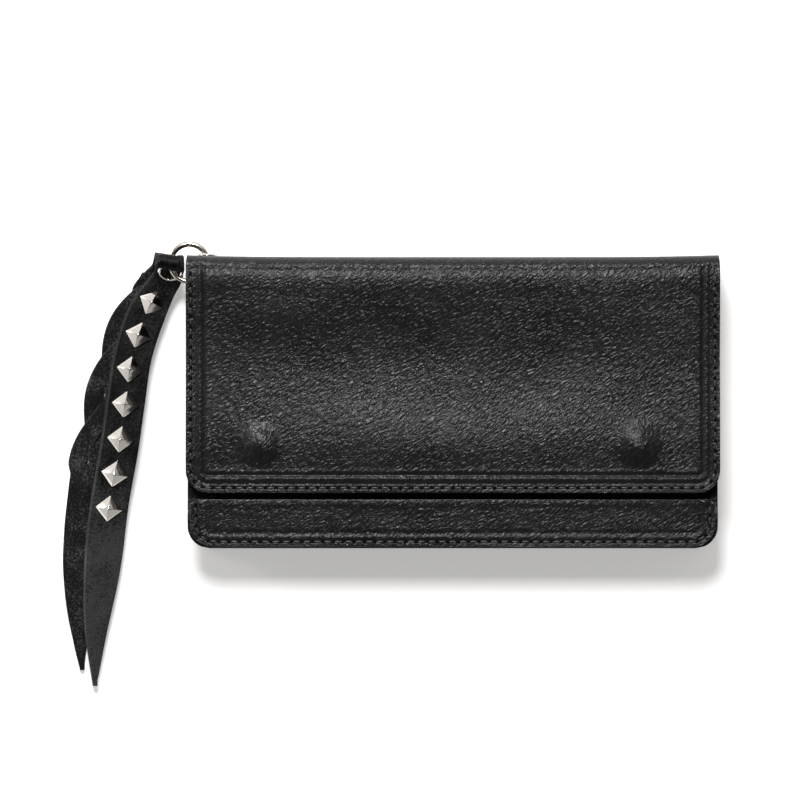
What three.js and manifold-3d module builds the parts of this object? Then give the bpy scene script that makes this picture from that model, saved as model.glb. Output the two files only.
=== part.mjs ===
// A long flap wallet with a studded strap charm on a ring.
// Millimetres, +Z up. The origin is the middle of the back panel's outer face:
// +X runs along the wallet, +Y towards the fold, +Z towards the flap.
import * as THREE from "three";
import { mergeVertices } from "three/addons/utils/BufferGeometryUtils.js";
import Module from "manifold-3d";

const wasm = await Module();
wasm.setup();

// ---- driving dimensions ----
const WALLET_LENGTH = 190;
const WALLET_HEIGHT = 105.2;
const HALF_LENGTH = WALLET_LENGTH / 2;
const HALF_HEIGHT = WALLET_HEIGHT / 2;
const COVER_THICKNESS = 1.6;
const LINING_THICKNESS = 0.7;
const CARD_THICKNESS = 0.5;
const GAP = 0.3; // between two layers that touch on the real wallet
const FLAP_UNDERSIDE = 24; // height of the outer leather of the flap
const FLAP_EDGE_Y = -32.1;
const FLAP_CORNER_RADIUS = 7.5;
const BODY_CORNER_RADIUS = 8;
const FOLD_RADIUS = 5;
const PANEL_TOP_Y = 30; // open edge of the front pocket
const FRONT_UNDERSIDE = 18.6;
const RING_RADIUS = 6.75; // to the middle of the wire
const WIRE_RADIUS = 1.05;
const RING_CENTRE = new THREE.Vector3(-94.5, 50.2, 11);
const STRAP_WIDTH = 13.4;
const STRAP_THICKNESS = 1.8;
const STUD_WIDTH = 7;
const STUD_HEIGHT = 3.4;
const STUD_COUNT = 7;
const SNAP_X = [-68.7, 66.1];
const SNAP_Y = -14.9;
const POUCH_HALF_LENGTH = 88;
const ZIP_HALF_LENGTH = 80;
const ZIP_Y = 31.2; // middle of the zip chain
const ZIP_Z = 12.25;
const SLIDER_X = 72;

// ---- finishes ----
const leather = (color, roughness) =>
  new THREE.MeshStandardMaterial({ color, roughness, metalness: 0 });
const BLACK_LEATHER = leather(0x1b1b1d, 0.55);
const LINING_LEATHER = leather(0x222224, 0.7);
const STRAP_LEATHER = leather(0x141415, 0.5);
const ZIP_TEXTILE = leather(0x0d0d0e, 0.9);
const NICKEL = new THREE.MeshStandardMaterial({
  color: 0xc9c2b6,
  roughness: 0.2,
  metalness: 1,
});

const wallet = new THREE.Group();

function addNode(name, geometry, material) {
  const mesh = new THREE.Mesh(geometry, material);
  mesh.name = name;
  wallet.add(mesh);
  return mesh;
}

// ---- joining and cutting ----
function toSolid(geometry) {
  const bare = geometry.clone();
  bare.deleteAttribute("normal");
  bare.deleteAttribute("uv");
  const merged = mergeVertices(bare, 1e-4);
  const vertProperties = new Float32Array(merged.attributes.position.array);
  const triVerts = new Uint32Array(merged.index.array);
  return new wasm.Manifold(new wasm.Mesh({ numProp: 3, vertProperties, triVerts }));
}

function toGeometry(solid) {
  const mesh = solid.getMesh();
  const geometry = new THREE.BufferGeometry();
  const position = new THREE.BufferAttribute(mesh.vertProperties, 3);
  geometry.setAttribute("position", position);
  geometry.setIndex(new THREE.BufferAttribute(mesh.triVerts, 1));
  geometry.computeVertexNormals();
  return geometry;
}

function join(first, ...others) {
  return toGeometry(others.reduce((sum, g) => sum.add(toSolid(g)), toSolid(first)));
}

function cut(body, ...tools) {
  return toGeometry(tools.reduce((rest, g) => rest.subtract(toSolid(g)), toSolid(body)));
}

// ---- simple shapes ----
function block([x0, x1], [y0, y1], [z0, z1]) {
  const box = new THREE.BoxGeometry(x1 - x0, y1 - y0, z1 - z0);
  return box.translate((x0 + x1) / 2, (y0 + y1) / 2, (z0 + z1) / 2);
}

// A flat sheet with its two lower corners rounded and its upper corners eased.
function sheet(halfWidth, [y0, y1], [z0, z1], cornerRadius, ease = 1) {
  const arcSteps = 6;
  const outline = new THREE.Shape();
  const r = cornerRadius;
  outline.moveTo(-halfWidth, y0 + r);
  outline.absarc(-halfWidth + r, y0 + r, r, Math.PI, 1.5 * Math.PI);
  outline.absarc(halfWidth - r, y0 + r, r, 1.5 * Math.PI, 2 * Math.PI);
  outline.lineTo(halfWidth, y1 - ease);
  outline.lineTo(halfWidth - ease, y1);
  outline.lineTo(-halfWidth + ease, y1);
  outline.lineTo(-halfWidth, y1 - ease);
  const depth = z1 - z0;
  const plate = new THREE.ExtrudeGeometry(outline, {
    depth,
    bevelEnabled: false,
    curveSegments: arcSteps,
  });
  return plate.translate(0, 0, z0);
}

// A turned piece about +Z from [radius, height] corners of a closed profile.
function turned(corners, sides = 24) {
  const profile = corners.map(([r, z]) => new THREE.Vector2(r, z));
  if (corners[0][0] > 0) {
    profile.push(profile[0].clone());
  }
  return new THREE.LatheGeometry(profile, sides).rotateX(Math.PI / 2);
}

function washer(inner, outer, [z0, z1], sides = 24) {
  return turned([[inner, z0], [outer, z0], [outer, z1], [inner, z1]], sides);
}

// ---- outer leather: back with its spine wall, fold roll and flap ----
const SPINE_OUTER_Y = HALF_HEIGHT;
const SPINE_INNER_Y = HALF_HEIGHT - COVER_THICKNESS;
const ROLL_CENTRE_Y = HALF_HEIGHT - FOLD_RADIUS;
const ROLL_CENTRE_Z = FLAP_UNDERSIDE + COVER_THICKNESS - FOLD_RADIUS;
const SPINE_TOP = ROLL_CENTRE_Z - GAP / 2 - 0.7;
const EYELET_X = RING_CENTRE.x
  + Math.sqrt(RING_RADIUS ** 2 - (SPINE_OUTER_Y - 0.8 - RING_CENTRE.y) ** 2);
const EYELET_HOLE = 2.7;

function alongY(radius, length) {
  const rod = new THREE.CylinderGeometry(radius, radius, length, 24);
  return rod.translate(EYELET_X, SPINE_OUTER_Y, RING_CENTRE.z);
}

const backSheet = sheet(
  HALF_LENGTH - 0.3,
  [-HALF_HEIGHT, SPINE_OUTER_Y],
  [0, COVER_THICKNESS],
  BODY_CORNER_RADIUS,
);
const spineWall = block(
  [-HALF_LENGTH + 0.3, HALF_LENGTH - 0.3],
  [SPINE_INNER_Y, SPINE_OUTER_Y - 0.01],
  [COVER_THICKNESS / 2, SPINE_TOP],
);
const spineHole = alongY(EYELET_HOLE, 12);
const coverBack = cut(join(backSheet, spineWall), spineHole);
addNode("cover_back", coverBack, BLACK_LEATHER);

function foldRoll() {
  const steps = 8;
  const start = GAP / 2;
  const outline = new THREE.Shape();
  const inner = FOLD_RADIUS - COVER_THICKNESS;
  outline.moveTo(FOLD_RADIUS, -0.7 + start);
  outline.lineTo(FOLD_RADIUS, 0);
  outline.absarc(0, 0, FOLD_RADIUS, 0, Math.PI / 2);
  outline.lineTo(-start, FOLD_RADIUS);
  outline.lineTo(-start, inner);
  outline.absarc(0, 0, inner, Math.PI / 2, 0, true);
  outline.lineTo(inner, -0.7 + start);
  const length = WALLET_LENGTH - 0.6;
  const roll = new THREE.ExtrudeGeometry(outline, {
    depth: length,
    bevelEnabled: false,
    curveSegments: steps,
  });
  // The profile is drawn in Y and Z, and its length runs along X.
  roll.rotateX(Math.PI / 2).rotateZ(Math.PI / 2);
  return roll.translate(-length / 2, ROLL_CENTRE_Y, ROLL_CENTRE_Z);
}
addNode("cover_fold", foldRoll(), BLACK_LEATHER);

const FLAP_TOP_Y = ROLL_CENTRE_Y - GAP;
const FLAP_OUTER = FLAP_UNDERSIDE + COVER_THICKNESS;
const DOME_RADIUS = 7.6;
const DOME_RISE = 1.5;
const CAP_RADIUS = 5.2;
const CAP_HEIGHT = 1.1;
const flapSheet = sheet(
  HALF_LENGTH,
  [FLAP_EDGE_Y, FLAP_TOP_Y],
  [FLAP_UNDERSIDE, FLAP_OUTER],
  FLAP_CORNER_RADIUS,
);

// The leather rises in a shallow dome over each snap cap.
function dome(x) {
  const corners = [[0, FLAP_OUTER - COVER_THICKNESS / 2]];
  corners.push([DOME_RADIUS, FLAP_OUTER - COVER_THICKNESS / 2]);
  const rings = 4;
  for (let i = 0; i <= rings; i += 1) {
    const share = 1 - i / rings;
    const rise = DOME_RISE * (1 - share * share);
    corners.push([DOME_RADIUS * share, FLAP_OUTER + rise]);
  }
  return turned(corners).translate(x, SNAP_Y, 0);
}

function capRecess(x) {
  const recess = new THREE.CylinderGeometry(CAP_RADIUS + GAP, CAP_RADIUS + GAP, 3, 24);
  return recess.rotateX(Math.PI / 2).translate(x, SNAP_Y, FLAP_UNDERSIDE + CAP_HEIGHT - 1.2);
}
const coverFlap = cut(join(flapSheet, ...SNAP_X.map(dome)), ...SNAP_X.map(capRecess));
addNode("cover_flap", coverFlap, BLACK_LEATHER);

// ---- linings and card slots ----
const LINING_INSET = 0.5;
const SOCKET_BARREL = 3;
const FLAP_LINING_UNDERSIDE = FLAP_UNDERSIDE - GAP - LINING_THICKNESS;
const zHole = (x, radius) =>
  new THREE.CylinderGeometry(radius, radius, 100, 24)
    .rotateX(Math.PI / 2)
    .translate(x, SNAP_Y, 0);
const flapLiningSheet = sheet(
  HALF_LENGTH - LINING_INSET,
  [FLAP_EDGE_Y + LINING_INSET, FLAP_TOP_Y],
  [FLAP_LINING_UNDERSIDE, FLAP_LINING_UNDERSIDE + LINING_THICKNESS],
  FLAP_CORNER_RADIUS,
);
const socketHoles = SNAP_X.map((x) => zHole(x, SOCKET_BARREL + GAP));
addNode("flap_lining", cut(flapLiningSheet, ...socketHoles), LINING_LEATHER);

let layerZ = COVER_THICKNESS + GAP;
const backLiningZ = [layerZ, layerZ + LINING_THICKNESS];
const backLining = sheet(
  HALF_LENGTH - 0.8,
  [-HALF_HEIGHT + LINING_INSET, SPINE_INNER_Y - GAP],
  backLiningZ,
  BODY_CORNER_RADIUS,
);
addNode("back_lining", backLining, LINING_LEATHER);
layerZ = backLiningZ[1] + GAP;

const spineLining = block(
  [-HALF_LENGTH + 0.8, HALF_LENGTH - 0.8],
  [SPINE_INNER_Y - GAP - LINING_THICKNESS, SPINE_INNER_Y - GAP],
  [layerZ, SPINE_TOP],
);
addNode("spine_lining", cut(spineLining, spineHole), LINING_LEATHER);

const CARD_SLOT_TOPS = [36, 28, 20];
CARD_SLOT_TOPS.forEach((top, i) => {
  const slot = sheet(88, [-47, top], [layerZ, layerZ + CARD_THICKNESS], 3);
  addNode(`card_slot_${i + 1}`, slot, LINING_LEATHER);
  layerZ += CARD_THICKNESS + GAP;
});

// ---- coin pouch with its zip ----
const POUCH_Z = [9.3, 15.2];
const POUCH_Y = [-46, 26];
const POUCH_WALL = 0.8;
const inset = ([low, high], by) => [low + by, high - by];
const pouchOuter = block([-POUCH_HALF_LENGTH, POUCH_HALF_LENGTH], POUCH_Y, POUCH_Z);
const pouchHollow = block(
  [-POUCH_HALF_LENGTH + POUCH_WALL, POUCH_HALF_LENGTH - POUCH_WALL],
  [POUCH_Y[0] + POUCH_WALL, POUCH_Y[1] + 10],
  inset(POUCH_Z, POUCH_WALL),
);
addNode("pouch_shell", cut(pouchOuter, pouchHollow), LINING_LEATHER);

const TAPE_THICKNESS = 0.4;
const CHAIN_HALF_WIDTH = 2.3;
const CHAIN_HALF_DEPTH = 1.25;
const tapeY = [20, ZIP_Y - CHAIN_HALF_DEPTH - GAP];
const innerWall = inset(POUCH_Z, POUCH_WALL + GAP);
[
  ["zip_tape_rear", [innerWall[0], innerWall[0] + TAPE_THICKNESS]],
  ["zip_tape_front", [innerWall[1] - TAPE_THICKNESS, innerWall[1]]],
].forEach(([name, z]) => {
  addNode(name, block([-ZIP_HALF_LENGTH - 4, ZIP_HALF_LENGTH + 4], tapeY, z), ZIP_TEXTILE);
});
const chainY = [ZIP_Y - CHAIN_HALF_DEPTH, ZIP_Y + CHAIN_HALF_DEPTH];
const chainZ = [ZIP_Z - CHAIN_HALF_WIDTH, ZIP_Z + CHAIN_HALF_WIDTH];
addNode("zip_chain", block([-ZIP_HALF_LENGTH, ZIP_HALF_LENGTH], chainY, chainZ), NICKEL);
[["zip_stop_left", -1], ["zip_stop_right", 1]].forEach(([name, side]) => {
  const ends = [ZIP_HALF_LENGTH + GAP, ZIP_HALF_LENGTH + GAP + 2];
  const x = side > 0 ? ends : [-ends[1], -ends[0]];
  addNode(name, block(x, chainY, inset(chainZ, 0.5)), NICKEL);
});

// The slider wraps the chain on three sides, and carries an arch for its pull.
const SLIDER_HALF = 5;
const SLIDER_PLATE = 1.2;
const CLEAR = 0.45;
const sliderTop = chainY[1] + CLEAR + SLIDER_PLATE;
const sliderBody = block(
  [SLIDER_X - SLIDER_HALF, SLIDER_X + SLIDER_HALF],
  [chainY[0] - 0.6, sliderTop],
  inset(chainZ, -CLEAR - 0.9),
);
const sliderChannel = block(
  [SLIDER_X - 20, SLIDER_X + 20],
  [chainY[0] - 4, chainY[1] + CLEAR],
  inset(chainZ, -CLEAR),
);

function pullArch() {
  const outline = new THREE.Shape();
  const [foot, rise, thick] = [3.2, 2.9, 0.8];
  outline.moveTo(-foot, -0.5);
  outline.lineTo(-foot, rise - 1);
  outline.quadraticCurveTo(-foot, rise, -foot + 1, rise);
  outline.lineTo(foot - 1, rise);
  outline.quadraticCurveTo(foot, rise, foot, rise - 1);
  outline.lineTo(foot, -0.5);
  outline.lineTo(foot - thick, -0.5);
  outline.lineTo(foot - thick, rise - thick);
  outline.lineTo(-foot + thick, rise - thick);
  outline.lineTo(-foot + thick, -0.5);
  const depth = 1.6;
  const arch = new THREE.ExtrudeGeometry(outline, {
    depth,
    bevelEnabled: false,
    curveSegments: 4,
  });
  return arch.translate(SLIDER_X, sliderTop, ZIP_Z - depth / 2);
}
addNode("zip_slider", join(cut(sliderBody, sliderChannel), pullArch()), NICKEL);

const PULL_LENGTH = 11;
const PULL_HALF_WIDTH = 2.4;
const PULL_AXIS_Y = sliderTop + 1.1;
function pullTab() {
  const halfBar = 0.5;
  const y = [PULL_AXIS_Y - halfBar, PULL_AXIS_Y + halfBar];
  const z = [ZIP_Z - PULL_HALF_WIDTH, ZIP_Z + PULL_HALF_WIDTH];
  const tab = block([SLIDER_X - PULL_LENGTH, SLIDER_X + halfBar], y, z);
  const eye = block(
    [SLIDER_X - 4.2, SLIDER_X - halfBar],
    [y[0] - 1, y[1] + 1],
    [ZIP_Z - 1.2, ZIP_Z + 1.2],
  );
  return cut(tab, eye);
}
addNode("zip_pull", pullTab(), NICKEL);

// ---- front pocket, which opens on its gussets ----
const FRONT_Y = [-HALF_HEIGHT + 0.6, PANEL_TOP_Y];
const POST_HOLE = 1.3;
const postHoles = SNAP_X.map((x) => zHole(x, POST_HOLE));
const frontLiningZ = [FRONT_UNDERSIDE, FRONT_UNDERSIDE + LINING_THICKNESS];
const frontLining = sheet(
  HALF_LENGTH - 2.2,
  [FRONT_Y[0] + LINING_INSET, FRONT_Y[1]],
  frontLiningZ,
  BODY_CORNER_RADIUS,
);
addNode("front_lining", cut(frontLining, ...postHoles), LINING_LEATHER);
const frontPanelZ = [frontLiningZ[1] + GAP, frontLiningZ[1] + GAP + COVER_THICKNESS];
const frontPanel = sheet(HALF_LENGTH - 0.4, FRONT_Y, frontPanelZ, BODY_CORNER_RADIUS);
addNode("front_panel", cut(frontPanel, ...postHoles), BLACK_LEATHER);
const BAND_TOP_Y = -34.6;
const bandY = [FRONT_Y[0] + LINING_INSET, BAND_TOP_Y];
const bandZ = [frontPanelZ[1] + GAP, frontPanelZ[1] + GAP + 1];
const frontBand = sheet(HALF_LENGTH - 1.5, bandY, bandZ, BODY_CORNER_RADIUS - LINING_INSET, 2.5);
addNode("front_band", frontBand, BLACK_LEATHER);

// Each gusset is a soft strip pleated twice, from the back to the front pocket.
const PLEAT_Z = [layerZ + 0.3, FRONT_UNDERSIDE - GAP];
function pleatedStrip(depth, length) {
  const thick = 0.7;
  const pleats = 4;
  const rise = (PLEAT_Z[1] - PLEAT_Z[0]) / pleats;
  const outline = new THREE.Shape();
  const across = (i) => (i % 2 === 0 ? 0 : depth - thick);
  outline.moveTo(0, 0);
  for (let i = 1; i <= pleats; i += 1) {
    outline.lineTo(across(i), i * rise);
  }
  for (let i = pleats; i >= 0; i -= 1) {
    outline.lineTo(across(i) + thick, i * rise);
  }
  const strip = new THREE.ExtrudeGeometry(outline, { depth: length, bevelEnabled: false });
  // The pleats are drawn in X and Z, and the strip runs along Y.
  return strip.rotateX(Math.PI / 2).translate(0, length, PLEAT_Z[0]);
}
const GUSSET_DEPTH = 4;
const GUSSET_Y = -47;
const gussetLength = PANEL_TOP_Y - 1 - GUSSET_Y;
const GUSSET_X = HALF_LENGTH - 2;
const leftGusset = pleatedStrip(GUSSET_DEPTH, gussetLength).translate(-GUSSET_X, GUSSET_Y, 0);
addNode("gusset_left", leftGusset, LINING_LEATHER);
const rightGusset = pleatedStrip(GUSSET_DEPTH, gussetLength)
  .rotateZ(Math.PI)
  .translate(GUSSET_X, GUSSET_Y + gussetLength, 0);
addNode("gusset_right", rightGusset, LINING_LEATHER);
const bottomLength = 2 * (GUSSET_X - BODY_CORNER_RADIUS);
const bottomGusset = pleatedStrip(3.2, bottomLength)
  .rotateZ(Math.PI / 2)
  .translate(bottomLength / 2, -HALF_HEIGHT + 1.4, 0);
addNode("bottom_gusset", bottomGusset, LINING_LEATHER);

// ---- snaps: cap and socket on the flap, stud and post on the front pocket ----
const panelTop = frontPanelZ[1];
[["left", SNAP_X[0]], ["right", SNAP_X[1]]].forEach(([side, x]) => {
  const place = (geometry) => geometry.translate(x, SNAP_Y, 0);
  const capBottom = FLAP_UNDERSIDE;
  const cap = turned([
    [0, capBottom],
    [CAP_RADIUS, capBottom],
    [CAP_RADIUS, capBottom + 0.3],
    [CAP_RADIUS * 0.6, capBottom + CAP_HEIGHT],
    [0, capBottom + CAP_HEIGHT],
  ]);
  addNode(`snap_cap_${side}`, place(cap), NICKEL);
  const bore = 2.2;
  const flangeZ = [FLAP_LINING_UNDERSIDE - GAP - 0.4, FLAP_LINING_UNDERSIDE - GAP];
  const socket = turned([
    [bore, flangeZ[0]],
    [5, flangeZ[0]],
    [5, flangeZ[1]],
    [SOCKET_BARREL, flangeZ[1]],
    [SOCKET_BARREL, capBottom - GAP],
    [bore, capBottom - GAP],
  ]);
  addNode(`snap_socket_${side}`, place(socket), NICKEL);
  const studZ = panelTop + GAP;
  const stud = turned([
    [0.95, studZ],
    [4.6, studZ],
    [4.6, studZ + 0.35],
    [1.5, studZ + 0.35],
    [1.75, studZ + 1.2],
    [1.3, studZ + 1.8],
    [0.95, studZ + 1.8],
  ]);
  addNode(`snap_stud_${side}`, place(stud), NICKEL);
  const post = turned([
    [0, FRONT_UNDERSIDE - GAP - 0.4],
    [4, FRONT_UNDERSIDE - GAP - 0.4],
    [4, FRONT_UNDERSIDE - GAP],
    [0.65, FRONT_UNDERSIDE - GAP],
    [0.65, studZ + 1.5],
    [0, studZ + 1.5],
  ]);
  addNode(`snap_post_${side}`, place(post), NICKEL);
});

// ---- ring and the eyelet that it hangs in ----
const EYELET_BORE = 2;
const FLANGE_THICKNESS = 0.4;
const toSpine = (geometry) =>
  geometry.rotateX(-Math.PI / 2).translate(EYELET_X, 0, RING_CENTRE.z);
const spineInside = SPINE_INNER_Y - GAP - LINING_THICKNESS;
// Turned about Y: heights in the profile are places along +Y.
const spineEyelet = turned([
  [EYELET_BORE, spineInside - GAP],
  [EYELET_BORE + 0.4, spineInside - GAP],
  [EYELET_BORE + 0.4, SPINE_OUTER_Y + GAP],
  [3.8, SPINE_OUTER_Y + GAP],
  [3.8, SPINE_OUTER_Y + GAP + FLANGE_THICKNESS],
  [EYELET_BORE, SPINE_OUTER_Y + GAP + FLANGE_THICKNESS],
]);
addNode("spine_eyelet", toSpine(spineEyelet), NICKEL);
const washerY = [spineInside - GAP - FLANGE_THICKNESS, spineInside - GAP];
const spineWasher = washer(EYELET_BORE + 0.7, 3.8, washerY);
addNode("spine_washer", toSpine(spineWasher), NICKEL);
const ring = new THREE.TorusGeometry(RING_RADIUS, WIRE_RADIUS, 8, 40);
addNode("ring", ring.translate(...RING_CENTRE.toArray()), NICKEL);

// ---- strap charm: one leather strap folded over the ring ----
// A point of the ring's wire at an angle about the ring's centre.
function onRing(degrees) {
  const a = THREE.MathUtils.degToRad(degrees);
  const offset = new THREE.Vector3(Math.cos(a), Math.sin(a), 0);
  return offset.multiplyScalar(RING_RADIUS).add(RING_CENTRE);
}
const FRONT_PIERCE = onRing(208.5);
const BACK_PIERCE = onRing(181);

// Both halves stand steeply where the wire passes through them.
const STEEP = new THREE.Vector3(-0.097, -0.41, -0.906);
const STRAIGHT = 2.6;
const beside = (pierce, x, by) => {
  const middle = new THREE.Vector3(x, pierce.y, pierce.z);
  return middle.addScaledVector(STEEP, by);
};
const backHalf = [
  [-133.9, -96.8, 1.1],
  [-134.4, -86.8, 1.1],
  [-134.4, -70, 1.1],
  [-133.7, -48.8, 1.1],
  [-131.4, -27.5, 1.8],
  [-129, -16, 2],
  [-126.3, -6, 2],
  [-124, 4, 2],
  [-121, 15.1, 2],
  [-117, 25, 2],
  [-112, 34.8, 1.9],
  [-107.5, 42.5, 2.2],
  [-104.3, 46.3, 4.4],
];
const frontHalf = [
  [-103.7, 43.9, 5.9],
  [-106.3, 39.5, 5],
  [-110.3, 31.8, 5.2],
  [-115.2, 16.5, 5.7],
  [-117.6, 0.5, 5.8],
  [-120.2, -17.6, 5.6],
  [-123.6, -36.5, 4.4],
  [-126.3, -59.5, 3.4],
  [-128.4, -81, 3.4],
  [-128.8, -102.4, 3.4],
];
// The fold is half a turn between the tops of the two steep stretches.
const backTop = beside(BACK_PIERCE, -102.3, -STRAIGHT);
const frontTop = beside(FRONT_PIERCE, -101.9, -STRAIGHT);
const foldCentre = backTop.clone().add(frontTop).multiplyScalar(0.5);
const foldReach = frontTop.clone().sub(backTop).multiplyScalar(0.5);
foldReach.addScaledVector(STEEP, -foldReach.dot(STEEP));
const foldPoint = (degrees) => {
  const a = THREE.MathUtils.degToRad(degrees);
  const point = foldCentre.clone().addScaledVector(foldReach, -Math.cos(a));
  return point.addScaledVector(STEEP, -foldReach.length() * Math.sin(a));
};
const strapRoute = [
  ...backHalf.map((p) => new THREE.Vector3(...p)),
  beside(BACK_PIERCE, -102.5, STRAIGHT),
  beside(BACK_PIERCE, -102.4, 0),
  ...[0, 45, 90, 135, 180].map(foldPoint),
  beside(FRONT_PIERCE, -102, 0),
  beside(FRONT_PIERCE, -102.1, STRAIGHT),
  ...frontHalf.map((p) => new THREE.Vector3(...p)),
];
const strapCurve = new THREE.CatmullRomCurve3(strapRoute, false, "centripetal");
const strapLength = strapCurve.getLength();
const FOLD_ACROSS = new THREE.Vector3(0.973, -0.229, 0).normalize();

// The share of the strap's length that lies nearest to a point.
function nearestShare(target, [from, to]) {
  const steps = 2000;
  let best = from;
  let least = Infinity;
  for (let i = 0; i <= steps; i += 1) {
    const share = from + ((to - from) * i) / steps;
    const distance = strapCurve.getPointAt(share).distanceTo(target);
    if (distance < least) {
      least = distance;
      best = share;
    }
  }
  return best;
}

// Unit vectors at a share of the strap's length: along, across and out of its face.
function strapFrame(share) {
  const along = strapCurve.getTangentAt(share);
  const down = new THREE.Vector3(along.x, along.y, 0);
  if (down.y > 0) {
    down.negate();
  }
  const turn = new THREE.Vector3(-down.y, down.x, 0);
  const across = turn.addScaledVector(FOLD_ACROSS, 1.2 * (1 - down.length()));
  across.addScaledVector(along, -across.dot(along)).normalize();
  const out = new THREE.Vector3().crossVectors(along, across).normalize();
  return { along, across, out };
}

const TAPER_FRONT = 52;
const TAPER_BACK = 44;
const TIP_WIDTH = 0.8;
const TOP_WIDTH = 11.9;
const foldShare = nearestShare(foldPoint(90), [0, 1]);
const BRAID_SHARE = [0.21, 0.4];
const BRAID_THICKNESS = 3.6;
const smooth = THREE.MathUtils.smoothstep;
function strapWidth(share) {
  const fromBack = share * strapLength;
  const fromFront = (1 - share) * strapLength;
  const taper = Math.min(fromBack / TAPER_BACK, fromFront / TAPER_FRONT, 1);
  const pointed = TIP_WIDTH + (STRAP_WIDTH - TIP_WIDTH) * Math.sin(taper * Math.PI / 2);
  const nearFold = 1 - smooth(Math.abs(share - foldShare), 0.03, 0.09);
  return Math.min(pointed, THREE.MathUtils.lerp(STRAP_WIDTH, TOP_WIDTH, nearFold));
}
function strapThickness(share) {
  const [from, to] = BRAID_SHARE;
  const blend = 0.04;
  const braided = smooth(share, from - blend, from) * (1 - smooth(share, to, to + blend));
  return THREE.MathUtils.lerp(STRAP_THICKNESS, BRAID_THICKNESS, braided);
}

const STRAP_STEPS = 140;
const strapBox = new THREE.BoxGeometry(1, 1, 1, STRAP_STEPS, 1, 1);
const corner = strapBox.attributes.position;
for (let i = 0; i < corner.count; i += 1) {
  const share = THREE.MathUtils.clamp(corner.getX(i) + 0.5, 0, 1);
  const { across, out } = strapFrame(share);
  const point = strapCurve.getPointAt(share);
  point.addScaledVector(across, corner.getY(i) * strapWidth(share));
  point.addScaledVector(out, corner.getZ(i) * strapThickness(share));
  corner.setXYZ(i, point.x, point.y, point.z);
}

// Turns a piece made about +Z to stand on the strap's face, at a point near it.
function ontoStrap(geometry, target, shares, lift) {
  const share = nearestShare(target, shares);
  const { along, across, out } = strapFrame(share);
  const centre = strapCurve.getPointAt(share);
  const sideways = new THREE.Vector3().subVectors(target, centre).dot(across);
  centre.addScaledVector(across, sideways).addScaledVector(out, lift);
  const turn = new THREE.Matrix4().makeBasis(along, across, out);
  return geometry.applyMatrix4(turn).translate(centre.x, centre.y, centre.z);
}
const FRONT_SHARES = [foldShare + 0.01, 1];
const BACK_SHARES = [0, foldShare - 0.01];
const STRAP_HOLE = 3.25;
const strapPunch = () => new THREE.CylinderGeometry(STRAP_HOLE, STRAP_HOLE, 3, 20)
  .rotateX(Math.PI / 2);
const frontPunch = ontoStrap(strapPunch(), FRONT_PIERCE, FRONT_SHARES, 0);
const backPunch = ontoStrap(strapPunch(), BACK_PIERCE, BACK_SHARES, 0);
// The wire has worn itself a little room where it bears on the strap and its eyelets.
const RING_CLEARANCE = 0.35;
const ringPath = () => new THREE.TorusGeometry(RING_RADIUS, WIRE_RADIUS + RING_CLEARANCE, 8, 40)
  .translate(...RING_CENTRE.toArray());
const strapBody = cut(strapBox, frontPunch, backPunch, ringPath());
addNode("charm_strap", strapBody, STRAP_LEATHER);

// A rolled eyelet lines each hole, with its flange on the strap's outer face.
const faceZ = STRAP_THICKNESS / 2;
const FLANGE_LIFT = 0.8;
const charmEyelet = () => turned([
  [2.8, -faceZ],
  [3, -faceZ],
  [3, faceZ + FLANGE_LIFT],
  [4, faceZ + FLANGE_LIFT],
  [4, faceZ + FLANGE_LIFT + 0.3],
  [2.8, faceZ + FLANGE_LIFT + 0.3],
]);
const frontEyelet = ontoStrap(charmEyelet(), FRONT_PIERCE, FRONT_SHARES, 0);
addNode("charm_eyelet_front", cut(frontEyelet, ringPath()), NICKEL);
const backEyelet = ontoStrap(charmEyelet(), BACK_PIERCE, BACK_SHARES, 0);
addNode("charm_eyelet_back", cut(backEyelet, ringPath()), NICKEL);

// Pyramid studs stand cornerwise down the front half of the strap.
const FIRST_STUD = new THREE.Vector3(-108.2, 36, 6.2);
const STUD_PITCH = 12.7;
const firstShare = nearestShare(FIRST_STUD, FRONT_SHARES);
for (let i = 0; i < STUD_COUNT; i += 1) {
  const base = 0.4;
  const reach = STUD_WIDTH / Math.SQRT2;
  const pyramid = turned([
    [0, 0],
    [reach, 0],
    [reach, base],
    [0, STUD_HEIGHT],
  ], 4);
  const share = firstShare + (i * STUD_PITCH) / strapLength;
  const target = strapCurve.getPointAt(share);
  const lift = STRAP_THICKNESS / 2 + GAP;
  const near = [share - 0.001, share + 0.001];
  addNode(`stud_${i + 1}`, ontoStrap(pyramid, target, near, lift), NICKEL);
}

export default wallet;
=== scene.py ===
"""A long flap wallet with a studded strap charm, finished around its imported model."""

import math

import bmesh
import bpy
from mathutils import Matrix, Vector, noise


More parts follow.
